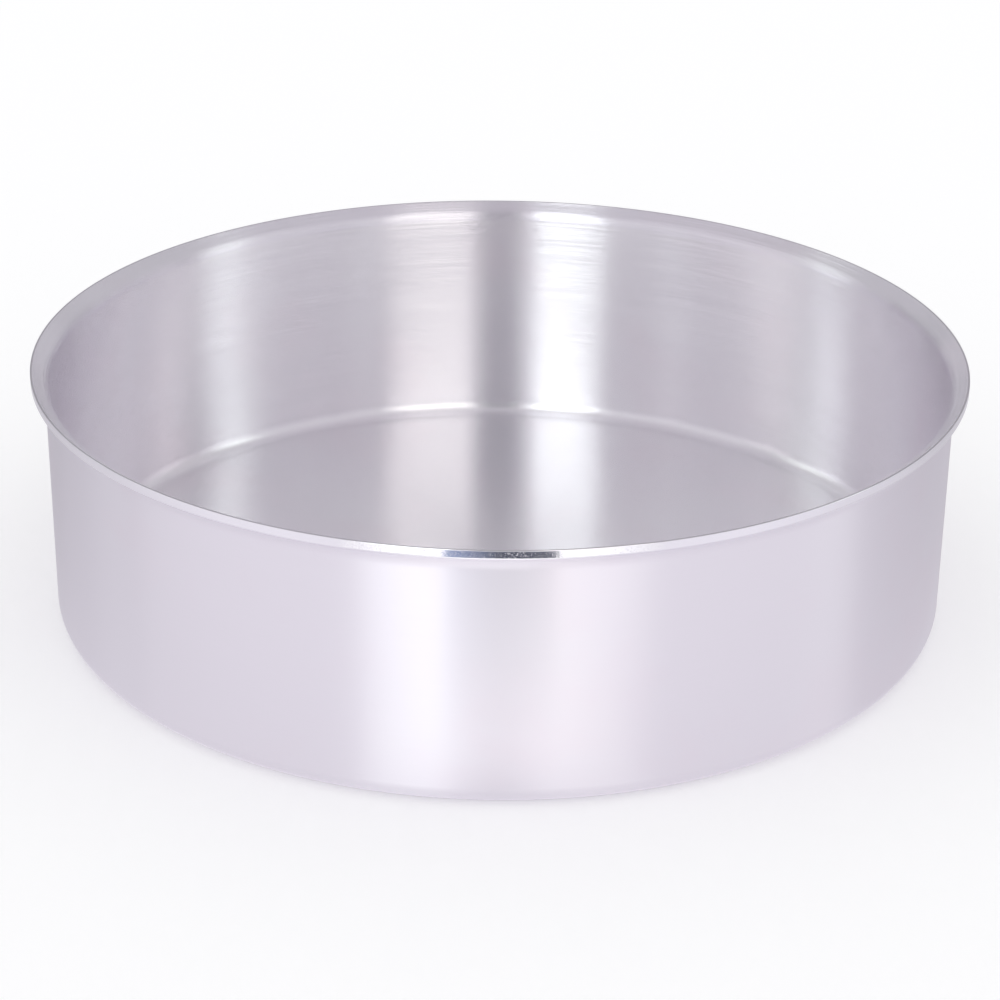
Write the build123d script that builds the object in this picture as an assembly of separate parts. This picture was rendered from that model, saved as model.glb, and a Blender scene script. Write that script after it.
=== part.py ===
from build123d import *
import os
from math import cos, radians, sin

# A deep round cake tin: one seamless aluminium sheet, drawn and spun, with a
# flat floor, a straight wall and a flared rim whose edge is folded under.
# The origin is the centre of the flat underside and +Z points up.

# Driving dimensions, in millimetres
inside_diameter = 254.0   # across the straight wall, inside
height = 74.0             # from the underside to the top of the rim
sheet = 1.2               # thickness of the aluminium
cove_radius = 4.3         # inside round between floor and wall
rim_overhang = 3.8        # how far the rim stands out past the wall
flare_radius = 6.4        # inside radius of the bend that starts the flare
crest_bevel = 0.3         # bevel on the crisp top edge of the rim
lip_face = 1.4            # from the top of the rim down to the round of the fold
fold_round = 2.0          # radius of the round that turns the lip under

# Angles, in degrees, and a share
flare_angle = 45          # how far the flare leans out from upright
fold_turn = 60            # how far the round turns the lip under
fold_seat_share = 0.1     # share of the flare's straight underside that the fold leaves bare

# Radii and directions that follow from them
inside_radius = inside_diameter / 2
wall_radius = inside_radius + sheet
rim_radius = wall_radius + rim_overhang
crest = Vector(rim_radius - crest_bevel, height)
up_flare = Vector(sin(radians(flare_angle)), cos(radians(flare_angle)))
off_flare = Vector(-cos(radians(flare_angle)), sin(radians(flare_angle)))


def flare_length():
    """Length of the straight part of the flare, from the bend to the crest"""
    bend_run = flare_radius * (1 - cos(radians(flare_angle)))
    return (crest.X - inside_radius - bend_run) / up_flare.X


def bend_centre():
    """Centre of the bend, shared by the arcs on both faces of the sheet"""
    bend_end = crest - up_flare * flare_length()
    return bend_end - off_flare * flare_radius


def fold_seat():
    """Where the folded edge closes on the underside of the flare"""
    underside_start = bend_centre() + off_flare * (flare_radius - sheet)
    return underside_start + up_flare * flare_length() * fold_seat_share


def outer_face():
    """Underside, base round, outer wall and underside of the flare"""
    base_round = cove_radius + sheet
    Line((0, 0), (wall_radius - base_round, 0))
    CenterArc((wall_radius - base_round, base_round), base_round, -90, 90)
    Line((wall_radius, base_round), (wall_radius, bend_centre().Y))
    bend = CenterArc(bend_centre(), flare_radius - sheet, 180, -flare_angle)
    Line(bend @ 1, fold_seat())


def rim_edge():
    """Fold, its round, the upright band of the lip and the bevel up to the crest"""
    round_centre = (rim_radius - fold_round, height - lip_face)
    turned_under = CenterArc(round_centre, fold_round, 0, -fold_turn)
    Line(turned_under @ 1, fold_seat())
    Line((rim_radius, height - lip_face), (rim_radius, height - crest_bevel))
    Line((rim_radius, height - crest_bevel), crest)


def inner_face():
    """Inside of the flare, inner wall, cove and floor, closed along the axis"""
    bend = CenterArc(bend_centre(), flare_radius, 180, -flare_angle)
    Line(bend @ 1, crest)
    Line((inside_radius, bend_centre().Y), (inside_radius, sheet + cove_radius))
    CenterArc((inside_radius - cove_radius, sheet + cove_radius), cove_radius, -90, 90)
    Line((inside_radius - cove_radius, sheet), (0, sheet))
    Line((0, sheet), (0, 0))


def tin_body():
    """Half section of the tin, turned once about the axis"""
    with BuildPart() as tin:
        with BuildSketch(Plane.XZ):
            with BuildLine():
                outer_face()
                rim_edge()
                inner_face()
            make_face()
        revolve(axis=Axis.Z)
    return tin.part


os.makedirs("parts", exist_ok=True)
body = tin_body()
body.label = "tin_body"
export_step(body, "parts/tin_body.step")
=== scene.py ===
from math import atan2, cos, hypot, pi, radians, sin, tan

import bpy
from mathutils import Matrix, Vector


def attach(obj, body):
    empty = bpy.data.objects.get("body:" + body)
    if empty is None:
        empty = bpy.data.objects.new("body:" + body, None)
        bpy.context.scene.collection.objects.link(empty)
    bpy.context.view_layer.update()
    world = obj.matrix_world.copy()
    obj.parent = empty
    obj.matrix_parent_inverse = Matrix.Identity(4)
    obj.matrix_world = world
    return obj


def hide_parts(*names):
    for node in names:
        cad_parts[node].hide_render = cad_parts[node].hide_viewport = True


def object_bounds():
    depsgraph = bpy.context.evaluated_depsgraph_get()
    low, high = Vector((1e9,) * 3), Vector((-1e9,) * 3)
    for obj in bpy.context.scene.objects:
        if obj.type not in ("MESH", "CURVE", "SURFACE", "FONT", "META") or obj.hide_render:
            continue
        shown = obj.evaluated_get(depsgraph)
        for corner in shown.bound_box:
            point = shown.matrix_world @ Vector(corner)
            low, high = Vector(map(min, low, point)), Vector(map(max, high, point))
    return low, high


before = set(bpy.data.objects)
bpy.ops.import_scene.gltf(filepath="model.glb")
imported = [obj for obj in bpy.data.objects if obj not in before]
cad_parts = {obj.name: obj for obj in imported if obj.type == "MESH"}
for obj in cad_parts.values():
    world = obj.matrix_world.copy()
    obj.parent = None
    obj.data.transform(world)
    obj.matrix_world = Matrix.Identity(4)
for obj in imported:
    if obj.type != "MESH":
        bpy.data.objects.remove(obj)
cad_low, cad_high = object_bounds()

# Sizes of the tin in metres: the whole from the frame, the rest as real sizes
MM = 0.001
height = cad_high.z
rim_radius = min(cad_high.x, cad_high.y, -cad_low.x, -cad_low.y)
sheet = 1.2 * MM
rim_overhang = 3.8 * MM          # how far the rim stands out past the wall
cove_radius = 4.3 * MM           # inside round between floor and wall
flare_radius = 4.0 * MM          # inside bend that starts the flare
flare_angle = radians(55)        # how far the inside of the flare leans out from upright
crest_round = 0.3 * MM           # round of the top edge of the rim
lip_face = 2.05 * MM             # from the top of the rim down to the round of the fold
fold_round = 0.8 * MM            # round that turns the lip under
fold_turn = radians(70)
under_radius = 5.2 * MM          # bend of the outer wall under the rim
under_angle = radians(45)
under_drop = 7.35 * MM           # from the top of the rim down to the start of that bend
crest_dark_from = radians(35)    # how far round the crest the lip's polish goes; beyond it the crest is darker, duller metal

wall_radius = rim_radius - rim_overhang
inside_radius = wall_radius - sheet
base_round = cove_radius + sheet

# How finely the turned mesh is divided
ROUND_STEPS = 360
ARC_STEP = radians(6)
FLAT_PARTS = 12
WALL_PARTS = 6


class Section:
    """Half section of the tin, drawn stretch by stretch; each piece of it names its finish"""

    def __init__(self, start):
        self.points = [start]
        self.pieces = []

    def add(self, end, start_normal, end_normal, finish):
        self.points.append(end)
        self.pieces.append((start_normal, end_normal, finish))

    def line(self, end, finish, parts=1):
        """A straight stretch to end"""
        start = self.points[-1]
        run, rise = end[0] - start[0], end[1] - start[1]
        length = hypot(run, rise)
        normal = (rise / length, -run / length)
        for k in range(1, parts + 1):
            self.add((start[0] + run * k / parts, start[1] + rise * k / parts), normal, normal, finish)

    def arc(self, centre, turn, finish):
        """A round stretch about centre, turned anticlockwise by turn from the last point"""
        start = self.points[-1]
        radius = hypot(start[0] - centre[0], start[1] - centre[1])
        first = atan2(start[1] - centre[1], start[0] - centre[0])
        side = 1 if turn > 0 else -1
        steps = max(2, round(abs(turn) / ARC_STEP))
        angles = [first + turn * k / steps for k in range(steps + 1)]
        normals = [(side * cos(angle), side * sin(angle)) for angle in angles]
        for k in range(1, steps + 1):
            end = (centre[0] + radius * cos(angles[k]), centre[1] + radius * sin(angles[k]))
            self.add(end, normals[k - 1], normals[k], finish)


def tin_section():
    """Section from the centre of the underside round the rim to the centre of the floor"""
    slope = (sin(flare_angle), cos(flare_angle))
    off = (-cos(flare_angle), sin(flare_angle))
    crest_centre = (rim_radius - crest_round, height - crest_round)
    crest = (crest_centre[0] + off[0] * crest_round, crest_centre[1] + off[1] * crest_round)
    straight = (crest[0] - inside_radius - flare_radius * (1 - slope[1])) / slope[0]
    bend_end = (crest[0] - slope[0] * straight, crest[1] - slope[1] * straight)
    bend_centre = (bend_end[0] - off[0] * flare_radius, bend_end[1] - off[1] * flare_radius)
    under_centre = (wall_radius + under_radius, height - under_drop)
    fold_centre = (rim_radius - fold_round, height - lip_face)
    fold_end = (fold_centre[0] + fold_round * cos(fold_turn), fold_centre[1] - fold_round * sin(fold_turn))

    s = Section((0.0, 0.0))
    s.line((wall_radius - base_round, 0.0), "underside", FLAT_PARTS)
    s.arc((wall_radius - base_round, base_round), pi / 2, "outside")
    s.line((wall_radius, under_centre[1]), "outside", WALL_PARTS)
    s.arc(under_centre, -under_angle, "outside")
    s.line(fold_end, "outside")
    s.arc(fold_centre, fold_turn, "lip")
    s.line((rim_radius, crest_centre[1]), "lip")
    s.arc(crest_centre, crest_dark_from, "lip")
    s.arc(crest_centre, pi / 2 + flare_angle - crest_dark_from, "crest")
    s.line(bend_end, "flare")
    s.arc(bend_centre, flare_angle, "flare")
    s.line((inside_radius, sheet + cove_radius), "wall", WALL_PARTS)
    s.arc((inside_radius - cove_radius, sheet + cove_radius), -pi / 2, "cove")
    s.line((0.0, sheet), "floor", FLAT_PARTS)
    return s


def turned_mesh(name, section, slots):
    """Turns a section that starts and ends on the axis into a closed mesh with exact normals"""
    rings = section.points[1:-1]
    verts = [(0.0, 0.0, section.points[0][1]), (0.0, 0.0, section.points[-1][1])]
    for r, z in rings:
        for k in range(ROUND_STEPS):
            angle = 2 * pi * k / ROUND_STEPS
            verts.append((r * cos(angle), r * sin(angle), z))

    lengths = [0.0]
    for (r0, z0), (r1, z1) in zip(section.points, section.points[1:]):
        lengths.append(lengths[-1] + hypot(r1 - r0, z1 - z0))

    last = len(rings) - 1
    faces, normals, places, finishes = [], [], [], []

    def at(ring, k):
        if ring < 0 or ring > last:
            return 0 if ring < 0 else 1
        return 2 + ring * ROUND_STEPS + k % ROUND_STEPS

    for ring, (start_normal, end_normal, finish) in enumerate(section.pieces, start=-1):
        for k in range(ROUND_STEPS):
            corners = [(ring, k, start_normal), (ring, k + 1, start_normal),
                       (ring + 1, k + 1, end_normal), (ring + 1, k, end_normal)]
            if ring < 0:
                corners.pop(0)
            elif ring == last:
                corners.pop()
            faces.append([at(row, step) for row, step, _ in corners])
            for row, step, (out, up) in corners:
                angle = 2 * pi * step / ROUND_STEPS
                normals.append((out * cos(angle), out * sin(angle), up))
                places.append((step / ROUND_STEPS, lengths[row + 1] / lengths[-1]))
            finishes.append(slots[finish])

    mesh = bpy.data.meshes.new(name)
    mesh.from_pydata(verts, [], faces)
    mesh.polygons.foreach_set("use_smooth", [True] * len(faces))
    mesh.polygons.foreach_set("material_index", finishes)
    around = mesh.uv_layers.new(name="around_and_along")
    around.data.foreach_set("uv", [value for place in places for value in place])
    mesh.normals_split_custom_set(normals)
    mesh.update()
    return mesh


class Nodes:
    """Short way to write a material's node tree"""

    def __init__(self, material):
        material.use_nodes = True
        self.tree = material.node_tree
        self.tree.nodes.clear()

    def fill(self, socket, value):
        """Links a socket to another one, or gives it a value"""
        if isinstance(value, bpy.types.NodeSocket):
            self.tree.links.new(value, socket)
        else:
            socket.default_value = value

    def add(self, kind, settings=None, inputs=None):
        node = self.tree.nodes.new("ShaderNode" + kind)
        for key, value in (settings or {}).items():
            setattr(node, key, value)
        for key, value in (inputs or {}).items():
            self.fill(node.inputs[key], value)
        return node

    def math(self, operation, a, b=0.0):
        return self.add("Math", {"operation": operation}, {0: a, 1: b}).outputs[0]

    def vector(self, operation, inputs):
        return self.add("VectorMath", {"operation": operation}, inputs).outputs[0]

    def spread(self, value, low, high, out_low, out_high):
        """Maps value from low..high to out_low..out_high"""
        inputs = {"Value": value, "From Min": low, "From Max": high, "To Min": out_low, "To Max": out_high}
        return self.add("MapRange", None, inputs).outputs["Result"]

    def noise(self, vector, scale, detail, roughness):
        inputs = {"Vector": vector, "Scale": scale, "Detail": detail, "Roughness": roughness}
        return self.add("TexNoise", None, inputs).outputs["Fac"]

    def noise_spread(self, noise, out_low, out_high):
        """Maps the middle range of a noise, where nearly all of it lies, to out_low..out_high"""
        return self.spread(noise, 0.3, 0.7, out_low, out_high)

    def mix(self, share, a, b):
        """Mixes two colours"""
        inputs = {"Factor": share, "A": a, "B": b}
        node = self.add("Mix", {"data_type": "RGBA"})
        for socket in node.inputs:
            if socket.enabled and socket.name in inputs:
                self.fill(socket, inputs[socket.name])
        return next(o for o in node.outputs if o.enabled)

    def place(self):
        """The point on the object, in its own frame"""
        return self.add("TexCoord").outputs["Object"]

    def place_parts(self):
        """That point's x, y and z"""
        return self.add("SeparateXYZ", None, {0: self.place()}).outputs

    def seen(self):
        """One where the camera, a mirror or clear glass looks; zero for light that falls on things"""
        path = self.add("LightPath")
        seen = self.math("MAXIMUM", path.outputs["Is Camera Ray"], path.outputs["Is Glossy Ray"])
        return self.math("MAXIMUM", seen, path.outputs["Is Transmission Ray"])


# Sizes of the brush lines and of the grain in the polish
fine_streak, fine_line = 30 * MM, 0.6 * MM
broad_streak, broad_line = 60 * MM, 3.0 * MM
scratch_streak, scratch_line = 40 * MM, 0.03 * MM
polish_grain = 0.5 * MM
brush_turn = 0.25                # quarter of a turn, which draws the gloss out across the lines
nearest_to_axis = 1 * MM         # keeps the brush lines' direction defined at the axis


def brush_coordinates(n, streak_length, line_width):
    """A vector that runs slowly round the tin and quickly across the brush lines"""
    x, y, z = n.place_parts()
    radius = n.math("SQRT", n.math("ADD", n.math("MULTIPLY", x, x), n.math("MULTIPLY", y, y)))
    radius = n.math("MAXIMUM", radius, nearest_to_axis)
    along = inside_radius / streak_length
    across = n.math("DIVIDE", n.math("ADD", radius, z), line_width)
    round_x = n.math("MULTIPLY", n.math("DIVIDE", x, radius), along)
    round_y = n.math("MULTIPLY", n.math("DIVIDE", y, radius), along)
    return n.add("CombineXYZ", None, {0: round_x, 1: round_y, 2: across}).outputs[0]


def leaning_normal(n, lean):
    """The surface normal, leaned across the brush lines by lean"""
    normal = n.add("NewGeometry").outputs["Normal"]
    tangent = n.add("Tangent", {"direction_type": "RADIAL", "axis": "Z"}).outputs[0]
    across = n.vector("CROSS_PRODUCT", {0: tangent, 1: normal})
    leaned = n.vector("ADD", {0: normal, 1: n.vector("SCALE", {0: across, "Scale": lean})})
    return n.vector("NORMALIZE", {0: leaned}), tangent


def metal(n, anisotropy, colour, roughness, normal, tangent):
    """Bare metal whose gloss is drawn out across the brush lines"""
    shader = n.add("BsdfPrincipled", None, {
        "Base Color": colour, "Metallic": 1.0, "Roughness": roughness,
        "Anisotropic": anisotropy, "Anisotropic Rotation": brush_turn,
        "Normal": normal, "Tangent": tangent})
    n.add("OutputMaterial", None, {"Surface": shader.outputs[0]})


def brushed_metal(name, tone, roughness, swing, grain, lean):
    """Aluminium with fine lines round the axis. Tone varies by grain and roughness by swing from
    line to line, and lean is how far the finest scratches tilt the surface across the lines, as
    a number or a function of the material's nodes"""
    material = bpy.data.materials.new(name)
    n = Nodes(material)
    fine = n.noise(brush_coordinates(n, fine_streak, fine_line), 1.0, 2.0, 0.5)
    broad = n.noise(brush_coordinates(n, broad_streak, broad_line), 1.0, 2.0, 0.5)
    scratch = n.noise(brush_coordinates(n, scratch_streak, scratch_line), 1.0, 1.0, 0.5)
    cloud = n.noise(n.place(), 25.0, 3.0, 0.6)
    lines = n.math("ADD", n.math("MULTIPLY", fine, 0.7), n.math("MULTIPLY", broad, 0.3))
    darker = tuple(c * (1 - grain) for c in tone) + (1.0,)
    lighter = tuple(min(1.0, c * (1 + grain)) for c in tone) + (1.0,)
    tint = n.mix(n.noise_spread(lines, 0.0, 1.0), darker, lighter)
    smudge = (tone[0], tone[1] * 0.98, tone[2] * 0.985, 1.0)
    colour = n.mix(n.spread(cloud, 0.5, 0.72, 0.0, 1.0), tint, smudge)
    rough = n.noise_spread(lines, roughness - swing, roughness + swing)
    reach = lean(n) if callable(lean) else lean
    tilt = n.math("MULTIPLY", n.noise_spread(scratch, -1.0, 1.0), reach)
    metal(n, 1.0, colour, rough, *leaning_normal(n, tilt))
    return material


def polished_metal(name, tone, roughness, ripple):
    """Bright rubbed metal with a fine grainy ripple in its polish"""
    material = bpy.data.materials.new(name)
    n = Nodes(material)
    place = n.place()
    grains = n.noise(place, 1 / polish_grain, 2.0, 0.7)
    wear = n.noise(place, 30.0, 2.0, 0.5)
    darker = tuple(c * 0.97 for c in tone) + (1.0,)
    colour = n.mix(n.spread(wear, 0.35, 0.65, 0.0, 1.0), darker, (*tone, 1.0))
    rough = n.noise_spread(grains, roughness * 0.8, roughness * 1.2)
    metal(n, 0.5, colour, rough, *leaning_normal(n, n.spread(grains, 0.0, 1.0, -ripple, ripple)))
    return material


def inside_lean(n):
    """The brushing is deeper on the wall than on the floor and deepest on the rim, with smooth
    changes between them"""
    z = n.place_parts()[2]
    floor_lean, wall_lean, rim_extra = 0.05, 0.35, 0.15
    wall_from, wall_full = sheet, 9 * MM
    rim_from, rim_full = height - 12 * MM, height - 4 * MM
    wall = n.spread(z, wall_from, wall_full, floor_lean, wall_lean)
    return n.math("ADD", wall, n.spread(z, rim_from, rim_full, 0.0, rim_extra))


def tin_materials():
    """The finish of each stretch of the section, by its name there"""
    turned = {"roughness": 0.34, "swing": 0.06, "grain": 0.07, "lean": 0.05}
    buffed = {"roughness": 0.335, "swing": 0.01, "grain": 0.004, "lean": 0.008}
    satin = {"roughness": 0.26, "swing": 0.01, "grain": 0.008, "lean": inside_lean}
    return {
        "underside": brushed_metal("underside_brushed", (0.78, 0.76, 0.81), **turned),
        "outside": brushed_metal("outside_polished", (0.86, 0.825, 0.89), **buffed),
        "lip": polished_metal("lip_polished", (0.83, 0.81, 0.86), roughness=0.12, ripple=0.13),
        # The top of the crest gets darker, rougher metal than the lip, which draws a dark line along the
        # rim's top edge
        "crest": polished_metal("crest_dark_dull", (0.58, 0.565, 0.60), roughness=0.35, ripple=0.1),
        "flare": brushed_metal("flare_satin", (0.89, 0.87, 0.915), **satin),
        "wall": brushed_metal("wall_satin", (0.91, 0.895, 0.925), **satin),
        "cove": brushed_metal("cove_satin", (0.90, 0.885, 0.915), **satin),
        "floor": brushed_metal("floor_satin", (0.88, 0.865, 0.895), **satin),
    }


def add_object(name, data):
    """An object in the scene that shows a mesh or is a camera"""
    thing = bpy.data.objects.new(name, data)
    bpy.context.scene.collection.objects.link(thing)
    return thing


def make_tin():
    materials = tin_materials()
    slots = {finish: index for index, finish in enumerate(materials)}
    mesh = turned_mesh("tin_shell", tin_section(), slots)
    for material in materials.values():
        mesh.materials.append(material)
    tin = add_object("tin_shell", mesh)
    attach(tin, "root")
    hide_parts("tin_body")


# Camera, fitted to the photograph
camera_pitch = radians(24.80)
camera_roll = radians(0.66)
camera_place = Vector((0.4, -707.7, 353.4)) * MM
camera_lens = 96.24


def make_camera():
    data = bpy.data.cameras.new("camera")
    data.lens = camera_lens
    camera = add_object("camera", data)
    right = Vector((1, 0, 0))
    up = Vector((0, sin(camera_pitch), cos(camera_pitch)))
    back = Vector((0, -cos(camera_pitch), sin(camera_pitch)))
    turned_right = right * cos(camera_roll) + up * sin(camera_roll)
    turned_up = up * cos(camera_roll) - right * sin(camera_roll)
    turn = Matrix((turned_right, turned_up, back)).transposed().to_4x4()
    camera.matrix_world = Matrix.Translation(camera_place) @ turn
    bpy.context.scene.camera = camera


# Light of the studio: what falls on the floor, and what is added where the floor is seen
sky_light = 0.95
seen_sky = 1.0
floor_lift = 0.16
floor_half = 6.0


def make_world():
    """White to the camera and in the metal; a plain soft light on the floor"""
    world = bpy.data.worlds.new("studio")
    bpy.context.scene.world = world
    n = Nodes(world)
    strength = n.spread(n.seen(), 0.0, 1.0, sky_light, seen_sky)
    shader = n.add("Background", None, {"Color": (1.0, 1.0, 1.0, 1.0), "Strength": strength})
    n.add("OutputWorld", None, {"Surface": shader.outputs[0]})


def make_floor():
    """Pale floor: its own shade, lifted to white where the camera or the metal sees it"""
    mesh = bpy.data.meshes.new("studio_floor")
    corners = [(-floor_half, -floor_half, 0), (floor_half, -floor_half, 0),
               (floor_half, floor_half, 0), (-floor_half, floor_half, 0)]
    mesh.from_pydata(corners, [], [(0, 1, 2, 3)])
    floor = add_object("studio_floor", mesh)
    material = bpy.data.materials.new("floor_white")
    n = Nodes(material)
    shade = n.add("BsdfDiffuse", None, {"Color": (0.88, 0.88, 0.89, 1.0)})
    lift = n.add("Emission", None, {"Strength": n.math("MULTIPLY", n.seen(), floor_lift)})
    both = n.add("AddShader", None, {0: shade.outputs[0], 1: lift.outputs[0]})
    n.add("OutputMaterial", None, {"Surface": both.outputs[0]})
    mesh.materials.append(material)


def make_card(name, corners, glow, tone=(1.0, 1.0, 1.0)):
    """A flat card that only the metal sees; glow is a number or a function of the card's nodes"""
    mesh = bpy.data.meshes.new(name)
    mesh.from_pydata(corners, [], [(0, 1, 2, 3)])
    card = add_object(name, mesh)
    material = bpy.data.materials.new(name)
    n = Nodes(material)
    strength = glow(n) if callable(glow) else glow
    shader = n.add("Emission", None, {"Color": (*tone, 1.0), "Strength": strength})
    n.add("OutputMaterial", None, {"Surface": shader.outputs[0]})
    mesh.materials.append(material)
    card.visible_camera = False
    card.visible_diffuse = False
    card.visible_shadow = False


def make_panel(name, azimuths, heights, distance, glow, tone):
    """An upright card that faces the tin. It runs between two azimuths in degrees, counted from
    the camera's side towards the right, and between two heights in metres"""
    start, end = azimuths
    turn = radians((start + end) / 2)
    half_width = distance * tan(radians((end - start) / 2))
    middle = Vector((distance * sin(turn), -distance * cos(turn), 0))
    across = Vector((cos(turn), sin(turn), 0)) * half_width
    bottom, top = Vector((0, 0, heights[0])), Vector((0, 0, heights[1]))
    make_card(name, [middle - across + bottom, middle + across + bottom,
                     middle + across + top, middle - across + top], glow, tone)


def make_level_card(name, outline, level, glow, tone=(1.0, 1.0, 1.0)):
    """A card that lies level, from its corners seen from above"""
    make_card(name, [(x, y, level) for x, y in outline], glow, tone)


def square(half):
    """Corners of a level square about the tin's axis"""
    return [(-half, -half), (half, -half), (half, half), (-half, half)]


def floor_fall_off(n):
    """The floor is less bright towards the back, away from the softboxes"""
    front, back = -0.20, 0.06
    return n.spread(n.place_parts()[1], front, back, 1.0, 0.68)


def lip_shade(n):
    """The dark gap between the softboxes, lighter at its left end"""
    left, middle = -0.045, 0.0
    return n.spread(n.place_parts()[0], left, middle, 0.42, 0.06)


def lip_glow(n):
    """The bright floor that the lip mirrors fades towards the sides"""
    fade_from, fade_to = 0.085, 0.145
    return n.spread(n.math("ABSOLUTE", n.place_parts()[0]), fade_from, fade_to, 1.5, 1.0)


def front_glow(n):
    """The floor right in front of the tin is brightest in the middle"""
    fade_from, fade_to = 0.010, 0.042
    return n.spread(n.math("ABSOLUTE", n.place_parts()[0]), fade_from, fade_to, 1.35, 1.05)


# Tones of the studio's cards
white = (0.975, 1.025, 0.995)
cream = (1.0, 0.985, 0.955)
grey = (0.985, 0.965, 1.02)
pale_grey = (0.985, 0.965, 1.015)
violet = (0.985, 0.94, 1.03)
cool = (0.97, 0.98, 1.06)
deep_blue = (0.75, 0.95, 1.5)

# Distances of the studio's cards from the tin's axis, and their heights, in metres
light_distance = 1.1
dark_distance = 1.15
rear_distance = 1.2
room_distance = 1.7
room_height = 2.4
front_walls_from = 0.5
softbox_top = 1.9
strip_heights = (0.3, 1.0)


def make_lights():
    """A softbox at each side of the camera, the dark gap between them and a strip at each side"""
    make_panel("softbox_left", (-30, -10.5), (0.20, softbox_top), light_distance, 2.45, white)
    make_panel("softbox_right", (9, 34), (0.26, softbox_top), light_distance, 1.76, cream)
    make_panel("card_dark_front", (-6, 6.5), (0.25, 2.2), dark_distance, 0.28, cool)
    make_panel("strip_left", (-112, -98), strip_heights, light_distance, 1.4, white)
    make_panel("strip_right", (80, 92), strip_heights, light_distance, 1.6, white)


def make_room():
    """The grey walls and ceiling round the tin, with a darker low card at each rear side"""
    make_panel("card_rear_left", (-155, -124), (0.0, 0.35), rear_distance, 0.24, grey)
    make_panel("card_rear_right", (136, 152), (0.0, 0.45), rear_distance, 0.42, grey)
    full, upper = (0.0, room_height), (front_walls_from, room_height)
    make_panel("card_wall_back", (150, 210), full, room_distance, 0.59, grey)
    make_panel("card_wall_back_left", (-150, -90), full, room_distance, 0.58, grey)
    make_panel("card_wall_back_right", (90, 150), full, room_distance, 0.58, grey)
    make_panel("card_wall_left", (-90, -30), upper, room_distance, 0.78, grey)
    make_panel("card_wall_right", (30, 90), upper, room_distance, 0.72, grey)
    make_panel("card_wall_front", (-30, 30), upper, room_distance, 0.80, grey)
    ceiling_half = 3.0
    make_level_card("card_ceiling", square(ceiling_half), room_height, 0.59, violet)


def make_floor_cards():
    """What the outside and the lip mirror of the floor: the floor round the tin, and in front of
    it a dark strip between two bright ones"""
    reach, lift, above = 0.8, 0.3 * MM, 0.6 * MM
    make_level_card("card_floor", square(reach), lift, floor_fall_off, pale_grey)
    front_left, front_right = (-0.05, -0.145), (0.05, -0.145)
    dark_left, dark_left_far = (-0.043, -0.252), (-0.050, -0.325)
    dark_right, dark_right_far = (0.048, -0.252), (0.056, -0.325)
    end_left, end_left_far = (-0.125, -0.24), (-0.15, -0.285)
    end_right, end_right_far = (0.135, -0.24), (0.16, -0.285)
    make_level_card("card_lip_dark", [dark_left, dark_right, dark_right_far, dark_left_far],
                    above, lip_shade, deep_blue)
    make_level_card("card_lip_left", [end_left, dark_left, dark_left_far, end_left_far], above, lip_glow)
    make_level_card("card_lip_right", [dark_right, end_right, end_right_far, dark_right_far],
                    above, lip_glow)
    make_level_card("card_floor_front", [front_left, front_right, dark_right, dark_left],
                    above, front_glow)


make_tin()
make_camera()
make_world()
make_floor()
make_lights()
make_room()
make_floor_cards()
bpy.context.scene.cycles.glossy_bounces = 12
bpy.context.scene.view_settings.view_transform = "Standard"
